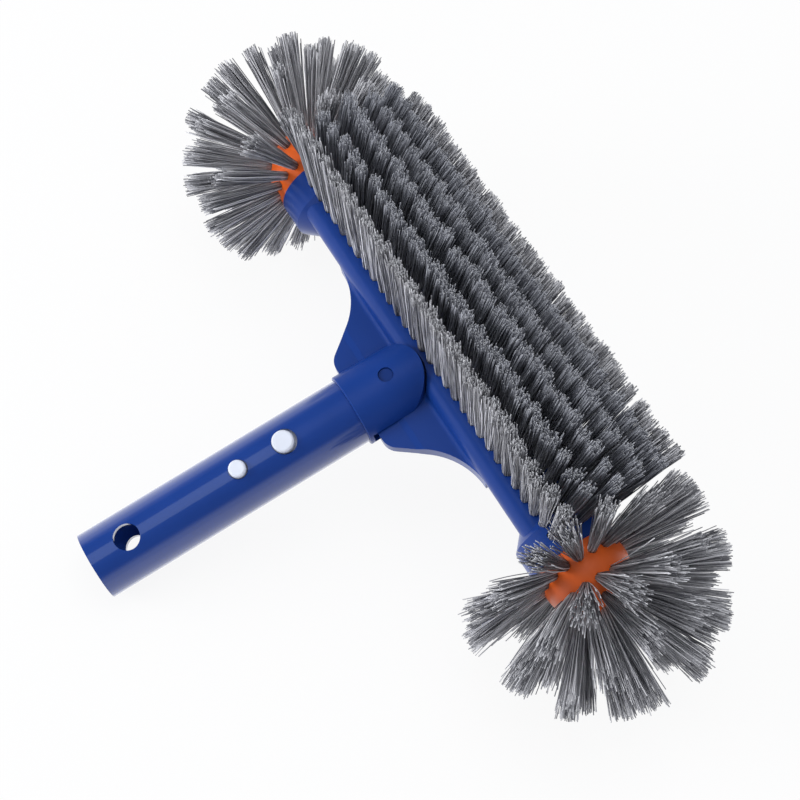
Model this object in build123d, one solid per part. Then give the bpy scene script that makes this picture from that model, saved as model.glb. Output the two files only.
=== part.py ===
from build123d import *
import os
from math import acos, asin, atan2, cos, degrees, hypot, pi, radians, sin, sqrt

# Pool wall brush: a moulded bar with six rows of bristle tufts, a hub of radiating tufts
# plugged into a cup at each end, and a handle that swivels on a pin through the bar's fin.
#
# Everything is drawn in the brush frame: origin on the swivel pin, X along the bar,
# Y from the handle towards the bar, Z along the pin. At the end each piece is turned
# about X, so that the brush lies on its end tufts and on the rim of its handle, and is
# moved to put the origin at the centre of the handle's mouth. +Z is then up.

os.makedirs("parts", exist_ok=True)

# ---- driving dimensions, mm and degrees ----
# bar
bar_axis_y = 26.8            # axis through both end cups, from the pin
bar_axis_z = -4.0
bristle_lean = 63.0          # middle of the bristle fan, turned from +Y towards +Z
face_radius = 31.0           # curve of the face that holds the tufts
edge_radius = 7.4            # rounding of the bar's two long edges
edge_offset = 11.0           # centre of that rounding, across the bar
edge_height = 4.2            # and along the bristle direction
shoulder_start = 87.5        # where the bar starts to widen into its cup
cup_start = 94.5
cup_end = 108.5
cup_radius = 20.5
waist_radius = 14.3          # small end of the shoulder cone
cup_bore_radius = 10.5
cup_bore_depth = 12.3
cup_edge_round = 0.6

# fin
fin_thickness = 7.0
lobe_thickness = 5.4
fin_step_top = -2.2          # the fin thins towards its lobes between these two heights
fin_step_bottom = -5.2
fin_bottom = -15.6
fin_lobe_half_width = 24.0
fin_lobe_round = 8.0
fin_neck_half_width = 33.2
fin_neck_height = -4.0
flare_radius = 35.0          # hollow curve from the neck up to the bar
fin_root_fillet = 2.6

# bristles
tuft_radius = 2.3            # socket size: a tuft is drawn as a slim six-sided horn
tuft_clearance = 0.05
row_tuft_tip_radius = 3.3
end_tuft_tip_radius = 6.0
tuft_sides = 6
socket_depth = 7.0
row_tuft_length = 50.0       # outside the bar
row_count = 6
row_angle = 9.4              # from each row to the next, about the face's centre
tuft_pitch = 6.9
row_tufts = 30

# end hubs
hub_radius = 19.8
hub_band = 9.0               # straight part beside the cup, before the dome
spigot_clearance = 0.1
spigot_length = 12.0
hub_socket_depth = 5.0
trim_radius = 60.5           # the end tufts are trimmed to a ball of this radius
trim_centre = 12.5           # its centre, from the cup
rim_ring_offset = 5.5        # first ring, from the cup
rim_ring_tufts = 18
shoulder_ring_angle = 25.0
shoulder_ring_tufts = 16
dome_ring_angle = 49.0
dome_ring_tufts = 11
crown_ring_angle = 70.0
crown_ring_tufts = 5

# handle
tube_radius = 15.75
tube_wall = 2.8
tube_end_round = 0.8
handle_reach = 151.0         # pin to the mouth of the handle
head_top_radius = 16.8
head_collar_radius = 17.3
collar_edge = 19.9           # pin to the collar's lower edge
collar_round = 0.5
slot_clearance = 0.4
slot_bottom = 17.9
slot_floor = 3.6             # wall between the slot and the tube's bore
pin_radius = 3.4
pin_press_clearance = 0.03
pin_running_clearance = 0.07
pin_recess = 0.8
head_gap = 1.0               # between the ears and the pockets in the bar

# spring clip, drawn with its buttons along Z and then turned about the tube
clip_turn = 6.0
small_hole_radius = 4.4
small_hole_from_pin = 76.4
large_hole_radius = 5.75
large_hole_from_pin = 53.0
spare_hole_radius = 5.95
spare_hole_from_mouth = 18.9
clip_width = 10.0
clip_thickness = 2.2
clip_wall_gap = 0.3
clip_bend_clearance = 0.55   # between the bend and the tube's bore
clip_bend_from_pin = 102.0
clip_bend_gap = 0.3
clip_tip_from_pin = 44.0
small_button_gap = 0.45
small_button_shift = 0.15
small_button_rise = 2.4
large_button_gap = 0.75
large_button_shift = 0.5
large_button_rise = 2.2
button_dome = 1.2

# ---- worked out from them ----
lean = radians(bristle_lean)
across = (0, sin(lean), -cos(lean))
outward = (0, cos(lean), sin(lean))
bar_plane = Plane(origin=(0, bar_axis_y, bar_axis_z), x_dir=across, z_dir=(1, 0, 0))
face_centre = edge_height - sqrt((face_radius - edge_radius) ** 2 - edge_offset**2)
edge_y = bar_axis_y - edge_offset * across[1] + edge_height * outward[1]
edge_z = bar_axis_z - edge_offset * across[2] + edge_height * outward[2]
bar_underside = edge_y - edge_radius
flare_end = fin_neck_half_width + sqrt(
    flare_radius**2 - (flare_radius - (bar_underside - fin_neck_height)) ** 2
)
slot_half = fin_thickness / 2 + slot_clearance
tube_bore_radius = tube_radius - tube_wall

rise_y = bar_axis_y + handle_reach
rise_z = bar_axis_z + tube_radius
lowest_tuft = sqrt(trim_radius**2 - (trim_centre - rim_ring_offset) ** 2)
rest_tilt = degrees(asin(lowest_tuft / hypot(rise_y, rise_z)) - atan2(rise_z, rise_y))
mouth_drop = radians(rest_tilt)
rest_place = Pos(0, handle_reach * cos(mouth_drop), handle_reach * sin(mouth_drop)) * Rot(rest_tilt, 0, 0)


def bar_section():
    """Outline across the bar: bristle face, two rounded edges and a flat back."""
    turn = atan2(edge_offset, edge_height - face_centre)
    face_end = (face_radius * sin(turn), face_centre + face_radius * cos(turn))
    side = (pi / 2 - turn - pi / 2) / 2
    edge_middle = (edge_offset + edge_radius * cos(side), edge_height + edge_radius * sin(side))
    back_end = (edge_offset, edge_height - edge_radius)

    def mirrored(point):
        return (-point[0], point[1])

    outline = [
        ThreePointArc(mirrored(face_end), (0, face_centre + face_radius), face_end),
        ThreePointArc(face_end, edge_middle, back_end),
        Line(back_end, mirrored(back_end)),
        ThreePointArc(mirrored(back_end), mirrored(edge_middle), mirrored(face_end)),
    ]
    return bar_plane * make_face(Wire(outline))


def fin_section():
    """Plate of the fin joined to the bar's section, with a fillet at its root."""
    half = fin_thickness / 2
    lobe = lobe_thickness / 2
    side = [
        (fin_bottom, lobe),
        (fin_step_bottom, lobe),
        (fin_step_top, half),
        (edge_y, half),
    ]
    other = [(y, -z) for y, z in reversed(side)]
    plate = Plane.YZ * make_face(Polyline(*side, *other, close=True))
    section = plate + bar_section()
    root_y = edge_y - sqrt(edge_radius**2 - (half - edge_z) ** 2)
    root = section.vertices().sort_by_distance((0, root_y, half))[0]
    return fillet(root, fin_root_fillet)


def fin_outline():
    """Side view of the fin: two lobes below the pin and a hollow flare up to the bar."""
    bar_middle = bar_axis_y
    flare_centre_y = bar_underside - flare_radius
    start = atan2(fin_neck_height - flare_centre_y, fin_neck_half_width - flare_end)
    middle = (start + pi / 2) / 2
    neck = (fin_neck_half_width, fin_neck_height)
    flare_middle = (flare_end + flare_radius * cos(middle), flare_centre_y + flare_radius * sin(middle))
    flare_top = (flare_end, bar_underside)
    right = [
        Line((0, fin_bottom), (fin_lobe_half_width, fin_bottom)),
        Line((fin_lobe_half_width, fin_bottom), neck),
        ThreePointArc(neck, flare_middle, flare_top),
        Line(flare_top, (flare_end, bar_middle)),
        Line((flare_end, bar_middle), (0, bar_middle)),
        Line((0, bar_middle), (0, fin_bottom)),
    ]
    half = make_face(Wire(right))
    corner = half.vertices().sort_by_distance((fin_lobe_half_width, fin_bottom, 0))[0]
    half = fillet(corner, fin_lobe_round)
    return half + mirror(half, about=Plane.YZ)


def at_bar_end(side, distance):
    """Plane across the bar's axis, facing out of the end on this side."""
    return Plane(origin=(side * distance, bar_axis_y, bar_axis_z), x_dir=(0, 1, 0), z_dir=(side, 0, 0))


def bar_end(side):
    """Shoulder cone and round cup at one end of the bar."""
    cone_length = cup_start - shoulder_start
    cone = at_bar_end(side, shoulder_start) * Cone(
        waist_radius, cup_radius, cone_length, align=(Align.CENTER, Align.CENTER, Align.MIN)
    )
    cup = at_bar_end(side, cup_start) * Cylinder(
        cup_radius, cup_end - cup_start, align=(Align.CENTER, Align.CENTER, Align.MIN)
    )
    mouth = cup.faces().sort_by(Axis.X)[-1 if side > 0 else 0]
    cup = fillet(mouth.edges(), cup_edge_round)
    return cone + cup


def standing_plane(direction):
    """Plane at the origin, facing along a tuft's direction."""
    sideways = (0, 1, 0) if abs(direction[0]) > 0.9 else (1, 0, 0)
    return Plane(origin=(0, 0, 0), x_dir=sideways, z_dir=direction)


def corners(radius, height):
    """Corners of a tuft's outline at a height above its socket's mouth."""
    turns = [2 * pi * i / tuft_sides for i in range(tuft_sides)]
    return [Vector(radius * cos(turn), radius * sin(turn), height) for turn in turns]


def tuft(direction, foot_depth, length, tip_radius):
    """One bundle of bristles at the origin, standing in its socket and spreading to its tip."""
    mouth_radius = tuft_radius - tuft_clearance
    growth = (tip_radius - mouth_radius) / length
    foot = corners(mouth_radius - growth * foot_depth, -foot_depth)
    tip = corners(tip_radius, length)
    sides = [
        Face(Wire.make_polygon([foot[i - 1], foot[i], tip[i], tip[i - 1]]))
        for i in range(tuft_sides)
    ]
    ends = [Face(Wire.make_polygon(foot)), Face(Wire.make_polygon(tip))]
    return standing_plane(direction) * Solid(Shell(sides + ends))


def socket(direction, depth):
    """Blind hole for one tuft, at the origin."""
    hole = extrude(RegularPolygon(tuft_radius, tuft_sides), depth + tuft_radius)
    return standing_plane(direction) * Pos(0, 0, -depth) * hole


def moved_along(foot, direction, distance):
    return tuple(f + d * distance for f, d in zip(foot, direction))


def surface_radius(x):
    """Radius of the cup or of its shoulder at a station along the bar."""
    share = (abs(x) - shoulder_start) / (cup_start - shoulder_start)
    return waist_radius + (cup_radius - waist_radius) * min(max(share, 0), 1)


def row_places(row):
    """Rise, foot and direction of each tuft of a row: near the ends it stands on the cup."""
    turn = radians((row - (row_count - 1) / 2) * row_angle)
    direction = (0, cos(lean - turn), sin(lean - turn))
    foot_w = face_radius * sin(turn)
    foot_h = face_centre + face_radius * cos(turn)
    y = bar_axis_y + foot_w * across[1] + foot_h * outward[1]
    z = bar_axis_z + foot_w * across[2] + foot_h * outward[2]
    along = foot_w * sin(turn) + foot_h * cos(turn)
    count = row_tufts - row % 2
    places = []
    for i in range(count):
        x = (i - (count - 1) / 2) * tuft_pitch
        cover = surface_radius(x) ** 2 - foot_w**2 - foot_h**2
        rise = sqrt(along**2 + cover) - along if cover > 0 else 0
        places.append((rise, moved_along((x, y, z), direction, rise), direction))
    return places


def row_of_tufts(row):
    return [
        Pos(*foot) * tuft(direction, socket_depth, row_tuft_length - rise, row_tuft_tip_radius)
        for rise, foot, direction in row_places(row)
    ]


def row_sockets(row):
    return [Pos(*foot) * socket(direction, socket_depth) for rise, foot, direction in row_places(row)]


def ring_places(side, elevation, count, start):
    """Foot and direction of each tuft of a ring round a hub."""
    up = radians(elevation)
    centre_x = cup_end + (hub_band if elevation else rim_ring_offset)
    places = []
    for i in range(count):
        angle = radians(start + 360 * i / count)
        direction = (side * sin(up), cos(up) * cos(angle), cos(up) * sin(angle))
        centre = (side * centre_x, bar_axis_y, bar_axis_z)
        places.append((moved_along(centre, direction, hub_radius), direction))
    return places


down_angle = -90 - rest_tilt      # straight down when the brush lies at rest


def rim_ring(side):
    return ring_places(side, 0, rim_ring_tufts, down_angle)


def shoulder_ring(side):
    half_step = 180 / shoulder_ring_tufts
    return ring_places(side, shoulder_ring_angle, shoulder_ring_tufts, down_angle + half_step)


def dome_rings(side):
    outer = ring_places(side, dome_ring_angle, dome_ring_tufts, down_angle)
    crown = ring_places(side, crown_ring_angle, crown_ring_tufts, down_angle)
    return outer + crown


def trimmed_length(side, foot, direction):
    """Length from a foot out to the ball that the end tufts are trimmed to."""
    centre = (side * (cup_end + trim_centre), bar_axis_y, bar_axis_z)
    offset = [f - c for f, c in zip(foot, centre)]
    along = sum(o * d for o, d in zip(offset, direction))
    return sqrt(along**2 - sum(o * o for o in offset) + trim_radius**2) - along


def ring_of_tufts(side, places):
    tufts = []
    for foot, direction in places:
        length = trimmed_length(side, foot, direction)
        tufts.append(Pos(*foot) * tuft(direction, hub_socket_depth, length, end_tuft_tip_radius))
    return tufts


def hub(side):
    """Orange plug: spigot in the cup, straight band and dome, with a socket for each tuft."""
    centred = (Align.CENTER, Align.CENTER, Align.MIN)
    spigot = at_bar_end(side, cup_end - spigot_length) * Cylinder(
        cup_bore_radius - spigot_clearance, spigot_length, align=centred
    )
    band = at_bar_end(side, cup_end) * Cylinder(hub_radius, hub_band, align=centred)
    dome = at_bar_end(side, cup_end + hub_band) * Sphere(hub_radius, arc_size1=0, align=centred)
    places = rim_ring(side) + shoulder_ring(side) + dome_rings(side)
    holes = [Pos(*foot) * socket(direction, hub_socket_depth) for foot, direction in places]
    return spigot + band + dome - holes


def bar_body():
    """Bar, cups and fin as one moulding, with its sockets, pin bore and head pockets."""
    bar_length = 2 * shoulder_start + 2 * (cup_start - shoulder_start)
    bar = extrude(bar_section(), bar_length / 2, both=True)
    fin = extrude(fin_section(), flare_end, both=True)
    fin = fin & extrude(fin_outline(), 2 * cup_radius, both=True)
    body = bar + fin + bar_end(1) + bar_end(-1)

    pocket_radius = head_top_radius + head_gap
    pocket = Cylinder(pocket_radius, 2 * cup_radius, align=(Align.CENTER, Align.CENTER, Align.MIN))
    near_pocket = Pos(0, 0, fin_thickness / 2) * pocket
    far_pocket = mirror(near_pocket, about=Plane.XY)
    pin_bore = Cylinder(pin_radius + pin_running_clearance, 2 * fin_thickness)
    cups = [
        at_bar_end(side, cup_end - cup_bore_depth)
        * Cylinder(cup_bore_radius, cup_bore_depth, align=(Align.CENTER, Align.CENTER, Align.MIN))
        for side in (1, -1)
    ]
    holes = [hole for row in range(row_count) for hole in row_sockets(row)]
    return body - near_pocket - far_pocket - pin_bore - cups - holes


def head_blank():
    """Tapered barrel with a top that is round about the pin."""
    length = collar_edge + head_top_radius
    barrel = Pos(0, head_top_radius, 0) * Rot(90, 0, 0) * Cone(
        head_top_radius, head_collar_radius, length, align=(Align.CENTER, Align.CENTER, Align.MIN)
    )
    lower_edge = barrel.faces().sort_by(Axis.Y)[0].edges()
    barrel = fillet(lower_edge, collar_round)
    skirt = Pos(0, -collar_edge / 2, 0) * Rectangle(2 * head_collar_radius, collar_edge)
    outline = Circle(head_top_radius) + skirt
    return barrel & extrude(outline, head_collar_radius, both=True)


def fork_slot():
    """Slot between the two ears, open upwards and to both sides."""
    height = slot_bottom + 2 * head_top_radius
    slot = Box(3 * head_collar_radius, height, 2 * slot_half)
    return Pos(0, height / 2 - slot_bottom, 0) * slot


def handle():
    """Head and tube in one moulding: bored from the mouth, slotted from the top."""
    grip = Pos(0, -handle_reach, 0) * Rot(-90, 0, 0) * Cylinder(
        tube_radius, handle_reach - collar_edge, align=(Align.CENTER, Align.CENTER, Align.MIN)
    )
    bore_depth = handle_reach - slot_bottom - slot_floor
    bore = Pos(0, -handle_reach, 0) * Rot(-90, 0, 0) * Cylinder(
        tube_bore_radius, bore_depth, align=(Align.CENTER, Align.CENTER, Align.MIN)
    )
    holes = [
        Rot(0, clip_turn, 0) * Pos(0, -distance, 0) * Cylinder(radius, 3 * tube_radius)
        for radius, distance in (
            (small_hole_radius, small_hole_from_pin),
            (large_hole_radius, large_hole_from_pin),
            (spare_hole_radius, handle_reach - spare_hole_from_mouth),
        )
    ]
    pin_bore = Cylinder(pin_radius + pin_press_clearance, 3 * head_top_radius)
    hollow = head_blank() + grip - fork_slot() - bore
    mouth = hollow.faces().sort_by(Axis.Y)[0]
    hollow = fillet(mouth.edges().sort_by(SortBy.RADIUS)[0], tube_end_round)
    return hollow - pin_bore - holes


def pivot_pin():
    half = head_top_radius - pin_recess
    pin = Cylinder(pin_radius, 2 * half)
    return chamfer(pin.edges().filter_by(GeomType.CIRCLE), pin_press_clearance * 10)


def clip_reach():
    """How far the clip's arms may stand from the tube's axis."""
    return sqrt(tube_bore_radius**2 - (clip_width / 2) ** 2)


def domed_button(radius, base, top):
    """Round button along Z, with a domed top."""
    post = Pos(0, 0, base) * Cylinder(
        radius, top - base, align=(Align.CENTER, Align.CENTER, Align.MIN)
    )
    return fillet(post.faces().sort_by(Axis.Z)[-1].edges(), button_dome)


def clip_arm(side):
    """One arm of the clip with its two buttons, pressed against the tube's bore."""
    reach = clip_reach() - clip_wall_gap
    root_y = clip_bend_gap - clip_bend_from_pin
    outer_root = clip_reach() - clip_bend_clearance
    inner_root = outer_root - clip_thickness
    profile = Polyline(
        (root_y, inner_root),
        (-clip_tip_from_pin, reach - clip_thickness),
        (-clip_tip_from_pin, reach),
        (root_y, outer_root),
        close=True,
    )
    leaf = extrude(Plane.YZ * make_face(profile), clip_width / 2, both=True)
    slope = (reach - outer_root) / (-clip_tip_from_pin - root_y)

    def leaf_middle(from_pin):
        return outer_root + slope * (-from_pin - root_y) - clip_thickness / 2

    small_radius = small_hole_radius - small_button_gap
    small_from_pin = small_hole_from_pin + small_button_shift
    small = Pos(0, -small_from_pin, 0) * domed_button(
        small_radius, leaf_middle(small_from_pin), tube_radius + small_button_rise
    )
    large_radius = large_hole_radius - large_button_gap
    large_from_pin = large_hole_from_pin + large_button_shift
    large = Pos(0, -large_from_pin, 0) * domed_button(
        large_radius, leaf_middle(large_from_pin), tube_radius + large_button_rise
    )
    arm = leaf + small + large
    if side < 0:
        arm = mirror(arm, about=Plane.XY)
    return Rot(0, clip_turn, 0) * arm


def clip_bend():
    """Closed end of the clip, a half ring that joins the two arms."""
    outer = clip_reach() - clip_bend_clearance
    ring = Circle(outer) - Circle(outer - clip_thickness)
    ring = ring & (Pos(-outer, 0) * Rectangle(2 * outer, 2 * outer))
    half_ring = extrude(Plane.YZ * Pos(-clip_bend_from_pin, 0) * ring, clip_width / 2, both=True)
    return Rot(0, clip_turn, 0) * half_ring


def save(name, pieces):
    if not isinstance(pieces, list):
        pieces = [pieces]
    solids = [rest_place * solid for piece in pieces for solid in piece.solids()]
    shape = solids[0] if len(solids) == 1 else Compound(children=solids)
    export_step(shape, f"parts/{name}.step")


save("bar_body", bar_body())
for row in range(row_count):
    save(f"tuft_row_{row + 1}", row_of_tufts(row))
for label, side in (("right", 1), ("left", -1)):
    save(f"{label}_hub", hub(side))
    save(f"{label}_rim_tufts", ring_of_tufts(side, rim_ring(side)))
    save(f"{label}_shoulder_tufts", ring_of_tufts(side, shoulder_ring(side)))
    save(f"{label}_dome_tufts", ring_of_tufts(side, dome_rings(side)))
save("handle", handle())
save("pivot_pin", pivot_pin())
save("clip_bend", clip_bend())
save("near_clip_arm", clip_arm(1))
save("far_clip_arm", clip_arm(-1))
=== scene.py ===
"""Pool wall brush: crimped bristles, moulded plastics and a plain studio, around a fixed frame."""

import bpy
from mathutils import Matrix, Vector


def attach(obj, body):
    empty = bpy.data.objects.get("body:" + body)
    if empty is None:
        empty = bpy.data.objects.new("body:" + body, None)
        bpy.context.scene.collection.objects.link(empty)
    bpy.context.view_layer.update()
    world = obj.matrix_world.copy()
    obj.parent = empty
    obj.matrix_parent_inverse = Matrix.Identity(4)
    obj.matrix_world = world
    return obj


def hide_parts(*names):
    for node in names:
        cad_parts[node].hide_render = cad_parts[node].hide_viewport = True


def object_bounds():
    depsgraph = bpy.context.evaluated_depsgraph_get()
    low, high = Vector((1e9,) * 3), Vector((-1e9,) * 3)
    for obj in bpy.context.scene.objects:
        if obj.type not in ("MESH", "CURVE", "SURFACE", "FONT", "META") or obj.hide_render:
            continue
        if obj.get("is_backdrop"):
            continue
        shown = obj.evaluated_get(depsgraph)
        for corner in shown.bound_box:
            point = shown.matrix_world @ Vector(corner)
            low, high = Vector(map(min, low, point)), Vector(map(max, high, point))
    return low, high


bl_info = {
    "name": "Pool wall brush",
    "version": (1, 0, 0),
    "blender": (4, 5, 0),
    "location": "3D View > Sidebar > Brush",
    "description": "Bristle tufts, plastic finishes and a studio for a pool wall brush",
    "category": "Object",
}

from collections import namedtuple
from math import cos, pi, radians, sin

import bmesh
import bpy
import numpy as np
from mathutils import Vector

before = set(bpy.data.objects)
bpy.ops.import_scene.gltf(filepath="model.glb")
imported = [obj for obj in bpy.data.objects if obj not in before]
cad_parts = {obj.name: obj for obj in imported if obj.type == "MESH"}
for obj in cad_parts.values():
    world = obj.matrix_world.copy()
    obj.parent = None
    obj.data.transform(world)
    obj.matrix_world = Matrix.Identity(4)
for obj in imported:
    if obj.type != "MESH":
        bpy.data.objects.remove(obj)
cad_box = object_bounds()
floor_height = cad_box[0][2]

ROWS = [f"tuft_row_{number}" for number in range(1, 7)]
# these rows get the nylon in painted shade, and all other tufts the same nylon in painted light
INNER_ROWS_PAINTED_SHADE = ROWS[1:5]
RINGS = [
    f"{side}_{ring}_tufts"
    for side in ("left", "right")
    for ring in ("rim", "shoulder", "dome")
]
ROW_SEED = 11
RING_SEED = 41

# at rest the handle climbs at this angle, so a place along it adds up these shares of Y and Z
HANDLE_ANGLE = radians(15.928)
HANDLE_LEAN = (cos(HANDLE_ANGLE), sin(HANDLE_ANGLE))
COLLAR_PLACE = 0.1310           # from the handle's mouth to just short of its collar

# moulded plastic
FLOW_SCALE = 45.0
FLOW_DARKER = 0.88              # flow marks shade a colour between these shares of it
FLOW_LIGHTER = 1.10
FLOW_ROUGHNESS = 0.06           # from the smoothest to the roughest of the flow marks
FLOW_RELIEF = 2.0               # height of the flow marks against the grain's
GRAIN_SCALE = 1900.0
GRAIN_ROUGHNESS = 0.03
GRAIN_DEPTH = 0.00003
GRAIN_STRENGTH = 0.05
POLISH_ROUGHNESS = 0.08
PLASTIC_INDEX = 1.5
PIN_PAINTED_SHADE = 0.7                 # the pin's blue as a share of the bar's: painted shade, standing for the shade of the recess it sits in

# nylon
NYLON_INDEX = 1.53
NYLON_ROUGHNESS = 0.32
STREAK_SCALE = 900.0
STREAK_ROUGHNESS = 0.2
# painted light: a bristle is painted lighter near its foot, deep in the tuft where little light
# reaches, standing for light the translucent nylon carries down
ROOT_PAINTED_LIGHT = 1.08
PAINTED_LIGHT_LOSS = 0.13                # how much of its tone a bristle loses towards its tip: painted light at the foot that fades towards the tip
CUT_END = 0.985                 # share of a bristle's length above which its cut end is coloured
CUT_SHARPNESS = 400.0

# one bristle
BRISTLE_SIDES = 3
THICKNESS = (0.9, 1.1)          # least and most, against the bristle radius
WAVES = (5, 8)                  # fewest and most crimps along it
CRIMP_START = 4                 # the crimp has its full height after a quarter of the length
TONE_CURVE = 1.6                # makes light bristles rarer than dark ones

# how the bristles of a tuft spread
GOLDEN_TURN = 2.39996           # turn from each bristle to the next, which fills a disc evenly
MIDDLE_CROWDING = 0.35          # at 0 the tips spread evenly, and above it they crowd the middle
SQUEEZE = (0.8, 1.0)            # narrows a tuft's fan one way and widens it the other way
FAN = (0.8, 1.3)                # least and most width of the fan, against the tuft's spread
TIP_SCATTER = 0.13              # how unevenly the tips lie, as a share of the spread
BOW = 0.10                      # how far bristles bow sideways, as a share of the spread
SPLAY_CURVE = 1.15              # above 1 a tuft opens faster towards its tips
STRAY_BRISTLES = 0.04           # share of the bristles that stray
STRAY_REACH = 1.5               # how much further out the tip of one that strays lies

# lengths in a tuft, as shares of the unevenness
LONGEST = 0.9                   # how far the longest bristles pass the tuft's length
LENGTH_RANGE = 2.6              # from the longest to the shortest
SHORT_CURVE = 1.4               # above 1 the short ones are rarer
TUFT_SHIFT = (-0.8, 0.3)        # how much shorter or longer a whole tuft may be

# where tufts depart from the CAD's
WORN_SIDE = (0.0, -0.4, -0.92)  # end tufts that point this way are shorter
FLARED_LENGTH = 0.034           # stretch at each end of a row where the tufts lean outwards

# stage
Lamp = namedtuple("Lamp", "size place target")
OVERHEAD_LAMP = Lamp(size=(0.9, 0.9), place=(-0.15, 0.15, 1.5), target=(0, 0.1, 0))
SIDE_LAMP = Lamp(size=(0.7, 0.7), place=(-0.70, -1.20, 0.55), target=(0, 0.1, 0.03))
PANEL_LAMP = Lamp(size=(0.99, 0.64), place=(-0.175, -0.60, 1.5), target=(-0.175, -0.60, 0))
PANEL_COLOUR = (0.75, 0.88, 1.0)
PAPER_COLOUR = (0.9, 0.9, 0.92, 1)
SKY_COLOUR = (0.96, 0.98, 1, 1)
WHITE = (1, 1, 1, 1)
FLOOR_GLOW = 0.9                # share of the floor that glows for the camera and in reflections
MIRRORED_GLOW = 0.5             # extra glow of the floor in reflections
LOW_SKY = 0.15
HIGH_SKY = 0.5
SENSOR_WIDTH = 36
VIEW_DEPTH = 50
CAMERA_PLACE = (0.2643, -0.11534, 0.67967)
CAMERA_TURN = (28.905, -7.929, 58.514)


# ---- sizes and colours a user would change ----
def length_property(name, description, default):
    return bpy.props.FloatProperty(
        name=name, description=description, default=default, subtype="DISTANCE", unit="LENGTH"
    )


def colour_property(name, description, default):
    return bpy.props.FloatVectorProperty(
        name=name, description=description, default=default, size=3, min=0, max=1, subtype="COLOR"
    )


def power_property(name, description, default):
    return bpy.props.FloatProperty(
        name=name, description=description, default=default, unit="POWER"
    )


def share_property(name, description, default):
    return bpy.props.FloatProperty(name=name, description=description, default=default)


def count_property(name, description, default):
    return bpy.props.IntProperty(name=name, description=description, default=default)


class BristleSizes(bpy.types.PropertyGroup):
    """Sizes of the bristles and how they stand in a tuft."""

    bristle_radius: length_property("Bristle radius", "Half a bristle's thickness", 0.00025)
    segments: count_property("Segments", "Straight pieces along a bristle", 8)
    per_row_tuft: count_property("Bristles per row tuft", "In one tuft of the bar", 92)
    per_end_tuft: count_property("Bristles per end tuft", "In one tuft of an end brush", 105)
    buried: length_property("Buried length", "How far above its foot a tuft starts", 0.003)
    foot_radius: length_property("Foot radius", "Radius of a tuft in its socket", 0.00195)
    row_spread: length_property("Row tuft spread", "Radius of a row tuft at its tip", 0.0031)
    left_spread: length_property("Left tuft spread", "Radius of a left end tuft's tip", 0.0043)
    right_spread: length_property("Right tuft spread", "Radius of a right end tuft's tip", 0.0061)
    row_crimp: length_property("Row crimp", "Height of the waves of a row bristle", 0.00022)
    end_crimp: length_property("End crimp", "Height of the waves of an end bristle", 0.00010)
    row_unevenness: length_property("Row unevenness", "Scatter of row lengths", 0.0019)
    end_unevenness: length_property("End unevenness", "Scatter of end lengths", 0.0022)
    worn: share_property("Worn", "How much shorter the end tufts on the floor side are", 0.13)
    flare: length_property("Flare", "How far the last tufts of a row lean outwards", 0.006)


class FinishColours(bpy.types.PropertyGroup):
    """Colours of the plastics and the bristles."""

    blue: colour_property("Blue", "Moulded bar and handle", (0.0085, 0.044, 0.250))
    orange: colour_property("Orange", "End hubs", (0.74, 0.120, 0.016))
    white: colour_property("White", "Spring clip", (0.71, 0.75, 0.86))
    # inner colours are the nylon in painted shade, outer colours the same nylon in painted light
    inner_dark_painted_shade: colour_property("Inner dark", "Darkest inner bristles", (0.105, 0.110, 0.136))
    inner_light_painted_shade: colour_property("Inner light", "Lightest inner bristles", (0.52, 0.535, 0.60))
    outer_dark_painted_light: colour_property("Outer dark", "Darkest outer bristles", (0.125, 0.126, 0.145))
    outer_light_painted_light: colour_property("Outer light", "Lightest outer bristles", (0.92, 0.92, 0.97))
    bristle_tip: colour_property("Bristle tip", "Cut ends of the bristles", (0.50, 0.51, 0.54))


class StageSizes(bpy.types.PropertyGroup):
    """Camera, lamps and floor."""

    focal_length: bpy.props.FloatProperty(
        name="Focal length", description="Camera lens", default=74.25, subtype="DISTANCE_CAMERA"
    )
    floor_size: length_property("Floor size", "Side of the square floor", 8.0)
    overhead_power: power_property("Overhead lamp", "Power of the large lamp above", 6.5)
    side_power: power_property("Side lamp", "Power of the low lamp on the handle's side", 13.5)
    panel_power: power_property("Panel lamp", "Power of the panel that glints on the handle", 2.4)
    horizon_strength: share_property("Horizon strength", "Reflected light from low down", 1.2)
    zenith_strength: share_property("Zenith strength", "Reflected light from overhead", 0.04)
    even_strength: share_property("Even strength", "Soft light from all round", 0.62)


# ---- shader maths ----
class Term:
    """A shader value that takes part in sums."""

    def __init__(self, finish, socket):
        self.finish = finish
        self.socket = socket

    def _maths(self, operation, *values):
        return self.finish.node("ShaderNodeMath", {"operation": operation}, dict(enumerate(values)))

    def __add__(self, other):
        return self._maths("ADD", self, other)

    def __sub__(self, other):
        return self._maths("SUBTRACT", self, other)

    def __rsub__(self, other):
        return self._maths("SUBTRACT", other, self)

    def __mul__(self, other):
        return self._maths("MULTIPLY", self, other)

    def __lt__(self, other):
        return self._maths("LESS_THAN", self, other)

    def __gt__(self, other):
        return self._maths("GREATER_THAN", self, other)

    __radd__ = __add__
    __rmul__ = __mul__


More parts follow.
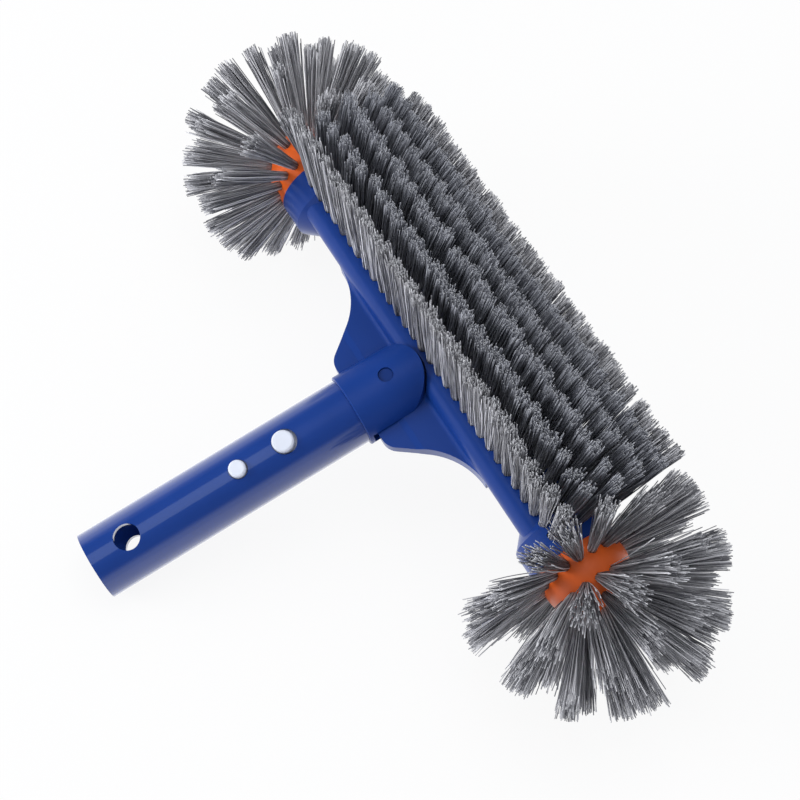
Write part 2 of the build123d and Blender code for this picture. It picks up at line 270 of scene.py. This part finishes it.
class Finish:
    """The nodes of a material or of the surroundings."""

    def __init__(self, owner, output):
        owner.use_nodes = True
        self.tree = owner.node_tree
        self.tree.nodes.clear()
        self.output = self.tree.nodes.new(output)

    def node(self, kind, settings=None, inputs=None, output=0):
        """Adds a node, sets it up, feeds its sockets and returns one of its outputs."""
        made = self.tree.nodes.new(kind)
        for name, value in (settings or {}).items():
            setattr(made, name, value)
        for name, value in (inputs or {}).items():
            if isinstance(value, Term):
                self.tree.links.new(value.socket, made.inputs[name])
            else:
                made.inputs[name].default_value = value
        return Term(self, made.outputs[output])

    def mix(self, factor, first, second):
        """Blend of two colours."""
        values = {0: factor}
        for index, colour in ((6, first), (7, second)):
            values[index] = colour if isinstance(colour, Term) else (*colour, 1)
        return self.node("ShaderNodeMix", {"data_type": "RGBA"}, values, output=2)

    def mix_shader(self, factor, first, second):
        """Blend of two shaders."""
        return self.node("ShaderNodeMixShader", {}, {0: factor, 1: first, 2: second})

    def place(self, kind="Object"):
        """Where a point lies, or in the sky which way it lies."""
        return self.node("ShaderNodeTexCoord", output=kind)

    def part(self, vector, axis):
        """One coordinate of a vector."""
        return self.node("ShaderNodeSeparateXYZ", {}, {0: vector}, output=axis)

    def noise(self, place, scale, detail):
        return self.node(
            "ShaderNodeTexNoise", {}, {"Vector": place, "Scale": scale, "Detail": detail}
        )

    def ray(self, kind):
        """1 for rays of one kind and 0 for all others."""
        return self.node("ShaderNodeLightPath", output=kind)

    def surface(self, shader):
        """Shows a shader on the surface."""
        self.tree.links.new(shader.socket, self.output.inputs["Surface"])


def new_material(name):
    material = bpy.data.materials.new(name)
    return material, Finish(material, "ShaderNodeOutputMaterial")


def moulded_plastic(name, colour, roughness, sheen, polished_below=None):
    """Injection-moulded plastic: faint flow marks, a fine grain and soft reflections.

    Up to `polished_below` along the handle, a clear polish lies on top.
    """
    material, finish = new_material(name)
    place = finish.place()
    flow = finish.noise(place, FLOW_SCALE, detail=4.0)
    grain = finish.noise(place, GRAIN_SCALE, detail=2.0)
    darker = tuple(FLOW_DARKER * part for part in colour)
    lighter = tuple(min(1.0, FLOW_LIGHTER * part) for part in colour)
    relief = {
        "Strength": GRAIN_STRENGTH,
        "Distance": GRAIN_DEPTH,
        "Height": grain + flow * FLOW_RELIEF,
    }
    bump = finish.node("ShaderNodeBump", {}, relief)
    smoothest = roughness - FLOW_ROUGHNESS / 2
    surface = {
        "Base Color": finish.mix(flow, darker, lighter),
        "Roughness": flow * FLOW_ROUGHNESS + smoothest + grain * GRAIN_ROUGHNESS,
        "Normal": bump,
        "IOR": PLASTIC_INDEX,
        "Specular IOR Level": sheen,
    }
    if polished_below is not None:
        forward, upward = HANDLE_LEAN
        along = finish.part(place, "Y") * forward + finish.part(place, "Z") * upward
        surface["Coat Weight"] = along < polished_below
        surface["Coat Roughness"] = POLISH_ROUGHNESS
    finish.surface(finish.node("ShaderNodeBsdfPrincipled", {}, surface))
    return material


def nylon_bristle(name, dark, light, tip):
    """Grey nylon: each bristle has its own tone, with painted light near its foot, so it grows a
    little darker towards its coloured cut end.
    """
    material, finish = new_material(name)
    strand = finish.node("ShaderNodeUVMap", {"uv_map": "strand"})
    tone = finish.part(strand, "X")
    along = finish.part(strand, "Y")
    # painted light: the tone is raised near the foot and lowered towards the tip
    body = finish.mix(tone * (ROOT_PAINTED_LIGHT - along * PAINTED_LIGHT_LOSS), dark, light)
    streak = finish.noise(finish.place(), STREAK_SCALE, detail=2.0)
    surface = {
        "Base Color": finish.mix((along - CUT_END) * CUT_SHARPNESS, body, tip),
        "Roughness": streak * STREAK_ROUGHNESS + NYLON_ROUGHNESS,
        "IOR": NYLON_INDEX,
    }
    finish.surface(finish.node("ShaderNodeBsdfPrincipled", {}, surface))
    return material


def bristle_material(node):
    """Nylon for a node, made on first use: the inner rows get a copy in painted shade, darker than
    the copy in painted light that all the others get.
    """
    colours = bpy.context.scene.brush_colours
    if node in INNER_ROWS_PAINTED_SHADE:
        name, dark, light = "inner_nylon_painted_shade", colours.inner_dark_painted_shade, colours.inner_light_painted_shade
    else:
        name, dark, light = "outer_nylon_painted_light", colours.outer_dark_painted_light, colours.outer_light_painted_light
    made = bpy.data.materials.get(name)
    return made or nylon_bristle(name, dark, light, colours.bristle_tip)


def dress(node, material):
    """Puts a material on a CAD node."""
    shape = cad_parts[node]
    if not shape.material_slots:
        shape.data.materials.append(material)
    for slot in shape.material_slots:
        slot.material = material


# ---- bristles ----
Blank = namedtuple("Blank", "points faces heights level")

# flatness is how flat a tuft's fan is, and below 0 its wide side is turned a quarter round;
# wander is how far the tips of a tuft stray together, as a share of its spread
Habit = namedtuple("Habit", "count spread flatness wander unevenness crimp worn flare")


def bristle_blank(segments):
    """One bristle of unit radius and unit length, cut across so that it can bend."""
    bpy.ops.object.select_all(action="DESELECT")
    bpy.ops.mesh.primitive_cylinder_add(
        vertices=BRISTLE_SIDES, radius=1, depth=1, location=(0, 0, 0.5)
    )
    shape = bpy.context.object
    bpy.ops.object.transform_apply(location=True)
    bpy.ops.object.mode_set(mode="EDIT")
    for cut in range(1, segments):
        bpy.ops.mesh.select_all(action="SELECT")
        bpy.ops.mesh.bisect(plane_co=(0, 0, cut / segments), plane_no=(0, 0, 1))
    bpy.ops.object.mode_set(mode="OBJECT")
    points = np.array([vertex.co for vertex in shape.data.vertices])
    faces = [tuple(face.vertices) for face in shape.data.polygons]
    bpy.data.objects.remove(shape)
    heights, level = np.unique(np.round(points[:, 2], 5), return_inverse=True)
    return Blank(points, faces, heights, level)


def separate_solids(shape):
    """Point numbers of each separate solid of a mesh."""
    waiting = set(range(len(shape.verts)))
    while waiting:
        solid, edge = set(), [waiting.pop()]
        while edge:
            index = edge.pop()
            solid.add(index)
            for link in shape.verts[index].link_edges:
                other = link.other_vert(shape.verts[index]).index
                if other in waiting:
                    waiting.discard(other)
                    edge.append(other)
        yield solid


def tuft_axes(node):
    """Foot and tip of each tuft in a CAD node, in metres: a tuft is narrower at its foot."""
    shape = bmesh.new()
    shape.from_mesh(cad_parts[node].data)
    bmesh.ops.remove_doubles(shape, verts=shape.verts, dist=1e-6)
    shape.verts.ensure_lookup_table()
    axes = []
    for solid in separate_solids(shape):
        points = np.array([shape.verts[index].co for index in solid])
        centre = points.mean(0)
        direction = np.linalg.svd(points - centre)[2][0]
        along = (points - centre) @ direction
        ends = [points[along < 0], points[along > 0]]
        widths = [np.linalg.norm(end - end.mean(0), axis=1).mean() for end in ends]
        if widths[0] > widths[1]:
            ends.reverse()
        axes.append((ends[0].mean(0), ends[1].mean(0)))
    shape.free()
    return sorted(axes, key=lambda axis: tuple(np.round(axis[1], 4)))


def bristle_paths(random, habit, foot_radius, length, heights):
    """Middle line of each bristle of a tuft that stands along +Z from the origin."""
    count, spread = habit.count, habit.spread
    number = np.arange(count)
    ring = np.sqrt((number + 0.5) / count)
    turn = number * GOLDEN_TURN + random.uniform(0, 2 * pi)
    disc = np.stack([ring * np.cos(turn), ring * np.sin(turn)], 1)

    # the tips fan out to a flattened disc, a few of them stray, and then all wander together
    squeeze = random.uniform(*SQUEEZE) ** habit.flatness
    fan = spread * random.uniform(*FAN) * np.array([1.0 / squeeze, squeeze])
    tip = disc * ring[:, None] ** MIDDLE_CROWDING * fan
    tip = tip + random.normal(0, TIP_SCATTER * spread, (count, 2))
    tip *= np.where(random.uniform(0, 1, (count, 1)) < STRAY_BRISTLES, STRAY_REACH, 1.0)
    tip += random.normal(0, habit.wander * spread, 2)
    bulge = random.normal(0, BOW * spread, (count, 2))

    # a bristle ends a little past the tuft's length, or further short of it
    shortness = LENGTH_RANGE * random.uniform(0, 1, count) ** SHORT_CURVE
    reach = length + (LONGEST - shortness) * habit.unevenness
    reach += random.uniform(*TUFT_SHIFT) * habit.unevenness

    # crimp: each bristle waves in a plane of its own, and less near its foot
    waves = random.uniform(*WAVES, count)
    phase = random.uniform(0, 2 * pi, count)
    lean = random.uniform(0, 2 * pi, count)
    share = heights[None, :]
    splay = share**SPLAY_CURVE
    fade_in = np.minimum(CRIMP_START * share, 1)
    swing = habit.crimp * np.sin(phase[:, None] + 2 * pi * waves[:, None] * share) * fade_in
    flat = (
        disc[:, None, :] * foot_radius * (1 - splay[..., None])
        + tip[:, None, :] * splay[..., None]
        + bulge[:, None, :] * np.sin(pi * share)[..., None]
        + np.stack([np.cos(lean), np.sin(lean)], 1)[:, None, :] * swing[..., None]
    )
    return np.concatenate([flat, (reach[:, None] * share)[..., None]], 2)


def tuft_points(random, habit, blank, foot, tip):
    """Corners of all the bristles of the tuft between a foot and a tip."""
    sizes = bpy.context.scene.brush_bristles
    whole = np.linalg.norm(tip - foot)
    axis = (tip - foot) / whole
    turned = np.array(Vector(axis).to_track_quat("Z", "Y").to_matrix())
    length = whole * (1 - habit.worn * max(0.0, axis @ WORN_SIDE)) - sizes.buried
    paths = bristle_paths(random, habit, sizes.foot_radius, length, blank.heights)
    roll = random.uniform(0, 2 * pi, habit.count)[:, None]
    thick = sizes.bristle_radius * random.uniform(*THICKNESS, habit.count)
    x, y = blank.points[:, 0], blank.points[:, 1]
    across = np.stack(
        [
            x * np.cos(roll) - y * np.sin(roll),
            x * np.sin(roll) + y * np.cos(roll),
            np.zeros((habit.count, len(x))),
        ],
        2,
    )
    local = paths[:, blank.level, :] + across * thick[:, None, None]
    local[..., 2] += sizes.buried
    placed = foot + local.reshape(-1, 3) @ turned.T
    placed[:, 2] = np.maximum(placed[:, 2], floor_height)
    return placed


def bristle_mesh(name, blank, points, tones):
    """Mesh of many bristles, whose UV map holds each one's tone and the place along it."""
    size = len(blank.points)
    faces = [
        tuple(corner + bristle * size for corner in face)
        for bristle in range(len(tones))
        for face in blank.faces
    ]
    mesh = bpy.data.meshes.new(name)
    mesh.from_pydata(points.tolist(), [], faces)
    sides = np.array([len(face) == 4 for face in blank.faces] * len(tones))
    mesh.polygons.foreach_set("use_smooth", sides)

    # only the cut ends reach past CUT_END, so that the sides keep the nylon's own tone
    strand = mesh.uv_layers.new(name="strand")
    corner_point = np.zeros(len(mesh.loops), int)
    mesh.loops.foreach_get("vertex_index", corner_point)
    along = blank.points[corner_point % size, 2]
    cap = np.repeat(~sides, [len(face) for face in blank.faces] * len(tones))
    coordinates = np.empty((len(mesh.loops), 2))
    coordinates[:, 0] = tones[corner_point // size]
    coordinates[:, 1] = np.where(cap, along, np.minimum(along, CUT_END - 0.001))
    strand.data.foreach_set("uv", coordinates.ravel())
    return mesh


def strand_piece(node, habit, seed):
    """Fills every tuft of a CAD node with bristles that stand for that node."""
    random = np.random.default_rng(seed)
    blank = bristle_blank(bpy.context.scene.brush_bristles.segments)
    tufts = tuft_axes(node)
    row_end = max(abs(tip[0]) for foot, tip in tufts)
    points, tones = [], []
    for foot, tip in tufts:
        last = max(0.0, 1 - (row_end - abs(tip[0])) / FLARED_LENGTH)
        tip = tip + np.array([np.copysign(habit.flare * last, tip[0]), 0, 0])
        points.append(tuft_points(random, habit, blank, foot, tip))
        tones.append(random.uniform(0, 1, habit.count) ** TONE_CURVE)
    name = node + "_bristles"
    mesh = bristle_mesh(name, blank, np.concatenate(points), np.concatenate(tones))
    mesh.materials.append(bristle_material(node))
    piece = bpy.data.objects.new(name, mesh)
    bpy.context.scene.collection.objects.link(piece)
    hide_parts(node)
    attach(piece, "brush")


# ---- operators ----
class BRUSH_OT_bar_rows(bpy.types.Operator):
    """Fill the six rows of the bar with bristles"""

    bl_idname = "brush.bar_rows"
    bl_label = "Bar rows"

    def execute(self, context):
        sizes = context.scene.brush_bristles
        habit = Habit(
            count=sizes.per_row_tuft,
            spread=sizes.row_spread,
            flatness=1.0,
            wander=0.20,
            unevenness=sizes.row_unevenness,
            crimp=sizes.row_crimp,
            worn=0.0,
            flare=sizes.flare,
        )
        for number, node in enumerate(ROWS):
            strand_piece(node, habit, ROW_SEED + number)
        return {"FINISHED"}


class BRUSH_OT_end_brushes(bpy.types.Operator):
    """Fill the rings of both end brushes with bristles"""

    bl_idname = "brush.end_brushes"
    bl_label = "End brushes"

    def execute(self, context):
        sizes = context.scene.brush_bristles
        habit = Habit(
            count=sizes.per_end_tuft,
            spread=sizes.left_spread,
            flatness=-1.2,
            wander=0.28,
            unevenness=sizes.end_unevenness,
            crimp=sizes.end_crimp,
            worn=sizes.worn,
            flare=0.0,
        )
        habits = {"left": habit, "right": habit._replace(spread=sizes.right_spread)}
        for number, node in enumerate(RINGS):
            side = node.split("_")[0]
            strand_piece(node, habits[side], RING_SEED + number)
        return {"FINISHED"}


class BRUSH_OT_mouldings(bpy.types.Operator):
    """Finish the blue bar, handle and pin, the orange hubs and the white clip"""

    bl_idname = "brush.mouldings"
    bl_label = "Mouldings"

    def execute(self, context):
        colours = context.scene.brush_colours
        # the pin is painted darker than the bar: painted shade for the recess it sits in
        pin_blue_painted_shade = tuple(PIN_PAINTED_SHADE * part for part in colours.blue)
        blue = moulded_plastic("blue_moulding", colours.blue, roughness=0.30, sheen=0.25)
        grip = moulded_plastic(
            "blue_grip", colours.blue, roughness=0.32, sheen=0.2, polished_below=COLLAR_PLACE
        )
        pin = moulded_plastic("blue_pin_painted_shade", pin_blue_painted_shade, roughness=0.34, sheen=0.2)
        orange = moulded_plastic("orange_moulding", colours.orange, roughness=0.36, sheen=0.4)
        white = moulded_plastic("white_moulding", colours.white, roughness=0.30, sheen=0.5)
        dress("bar_body", blue)
        dress("pivot_pin", pin)
        dress("handle", grip)
        for node in ("left_hub", "right_hub"):
            dress(node, orange)
        for node in ("clip_bend", "near_clip_arm", "far_clip_arm"):
            dress(node, white)
        return {"FINISHED"}


class BRUSH_OT_stage(bpy.types.Operator):
    """Lay the floor, hang the lamps and place the camera"""

    bl_idname = "brush.stage"
    bl_label = "Stage"

    def execute(self, context):
        stage = context.scene.brush_stage
        self.floor(stage)
        self.lamps(stage)
        self.sky(stage)
        self.camera(stage)
        context.scene.view_settings.view_transform = "Standard"
        return {"FINISHED"}

    def floor(self, stage):
        """A pale floor that glows for the camera and in reflections, and still takes shadows."""
        bpy.ops.object.select_all(action="DESELECT")
        bpy.ops.mesh.primitive_plane_add(size=stage.floor_size, location=(0, 0, floor_height))
        floor = bpy.context.object
        floor.name = "floor"
        material, finish = new_material("pale_floor")
        mirrored = finish.ray("Is Glossy Ray")
        paper = finish.node("ShaderNodeBsdfDiffuse", {}, {"Color": PAPER_COLOUR})
        light = {"Color": WHITE, "Strength": mirrored * MIRRORED_GLOW + 1.0}
        glow = finish.node("ShaderNodeEmission", {}, light)
        share = finish.ray("Is Camera Ray") * FLOOR_GLOW + mirrored * FLOOR_GLOW
        finish.surface(finish.mix_shader(share, paper, glow))
        floor.data.materials.append(material)
        floor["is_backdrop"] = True

    def lamps(self, stage):
        """A lamp above and one beside light the object, and a panel only glints on it."""
        above = self.lamp("overhead_lamp", stage.overhead_power, OVERHEAD_LAMP)
        above.visible_glossy = False
        beside = self.lamp("side_lamp", stage.side_power, SIDE_LAMP)
        beside.visible_glossy = False
        panel = self.lamp("panel_lamp", stage.panel_power, PANEL_LAMP)
        panel.visible_diffuse = False
        panel.data.color = PANEL_COLOUR

    def lamp(self, name, power, setting):
        """Hangs a rectangular lamp and turns it towards its target."""
        light = bpy.data.lights.new(name, "AREA")
        light.energy = power
        light.shape = "RECTANGLE"
        light.size, light.size_y = setting.size
        lamp = bpy.data.objects.new(name, light)
        bpy.context.scene.collection.objects.link(lamp)
        lamp.location = setting.place
        facing = Vector(setting.target) - Vector(setting.place)
        lamp.rotation_euler = facing.to_track_quat("-Z", "Y").to_euler()
        return lamp

    def sky(self, stage):
        """White to the camera, an even soft light, and bright low down in reflections."""
        world = bpy.data.worlds.new("studio")
        finish = Finish(world, "ShaderNodeOutputWorld")
        mirrored = finish.ray("Is Glossy Ray")
        climb = {
            "Value": finish.part(finish.place("Generated"), "Z"),
            "From Min": LOW_SKY,
            "From Max": HIGH_SKY,
            "To Min": stage.horizon_strength,
            "To Max": stage.zenith_strength,
        }
        level = finish.node("ShaderNodeMapRange", {"interpolation_type": "SMOOTHSTEP"}, climb)
        strength = mirrored * level + (1.0 - mirrored) * stage.even_strength
        even = finish.node("ShaderNodeBackground", {}, {"Color": SKY_COLOUR, "Strength": strength})
        white = finish.node("ShaderNodeBackground", {}, {"Color": WHITE, "Strength": 1.0})
        finish.surface(finish.mix_shader(finish.ray("Is Camera Ray"), even, white))
        bpy.context.scene.world = world

    def camera(self, stage):
        """Looks down on the brush from above its right end."""
        lens = bpy.data.cameras.new("camera")
        lens.lens = stage.focal_length
        lens.sensor_width = SENSOR_WIDTH
        lens.clip_end = VIEW_DEPTH
        camera = bpy.data.objects.new("camera", lens)
        bpy.context.scene.collection.objects.link(camera)
        camera.location = CAMERA_PLACE
        camera.rotation_euler = [radians(turn) for turn in CAMERA_TURN]
        bpy.context.scene.camera = camera


class BRUSH_PT_tools(bpy.types.Panel):
    """Lists the brush's operators"""

    bl_label = "Pool wall brush"
    bl_idname = "BRUSH_PT_tools"
    bl_space_type = "VIEW_3D"
    bl_region_type = "UI"
    bl_category = "Brush"

    def draw(self, context):
        for operator in OPERATORS:
            self.layout.operator(operator.bl_idname)


OPERATORS = (BRUSH_OT_bar_rows, BRUSH_OT_end_brushes, BRUSH_OT_mouldings, BRUSH_OT_stage)
GROUPS = {
    "brush_bristles": BristleSizes,
    "brush_colours": FinishColours,
    "brush_stage": StageSizes,
}


def register():
    for group in GROUPS.values():
        bpy.utils.register_class(group)
    for name, group in GROUPS.items():
        setattr(bpy.types.Scene, name, bpy.props.PointerProperty(type=group))
    for operator in OPERATORS:
        bpy.utils.register_class(operator)
    bpy.utils.register_class(BRUSH_PT_tools)


def unregister():
    bpy.utils.unregister_class(BRUSH_PT_tools)
    for operator in reversed(OPERATORS):
        bpy.utils.unregister_class(operator)
    for name in GROUPS:
        delattr(bpy.types.Scene, name)
    for group in GROUPS.values():
        bpy.utils.unregister_class(group)


def main():
    register()
    bpy.ops.brush.bar_rows()
    bpy.ops.brush.end_brushes()
    bpy.ops.brush.mouldings()
    bpy.ops.brush.stage()
    boxes = {"cad": cad_box, "visual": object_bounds()}
    plain = {name: [list(corner) for corner in box] for name, box in boxes.items()}


if __name__ == "__main__":
    main()
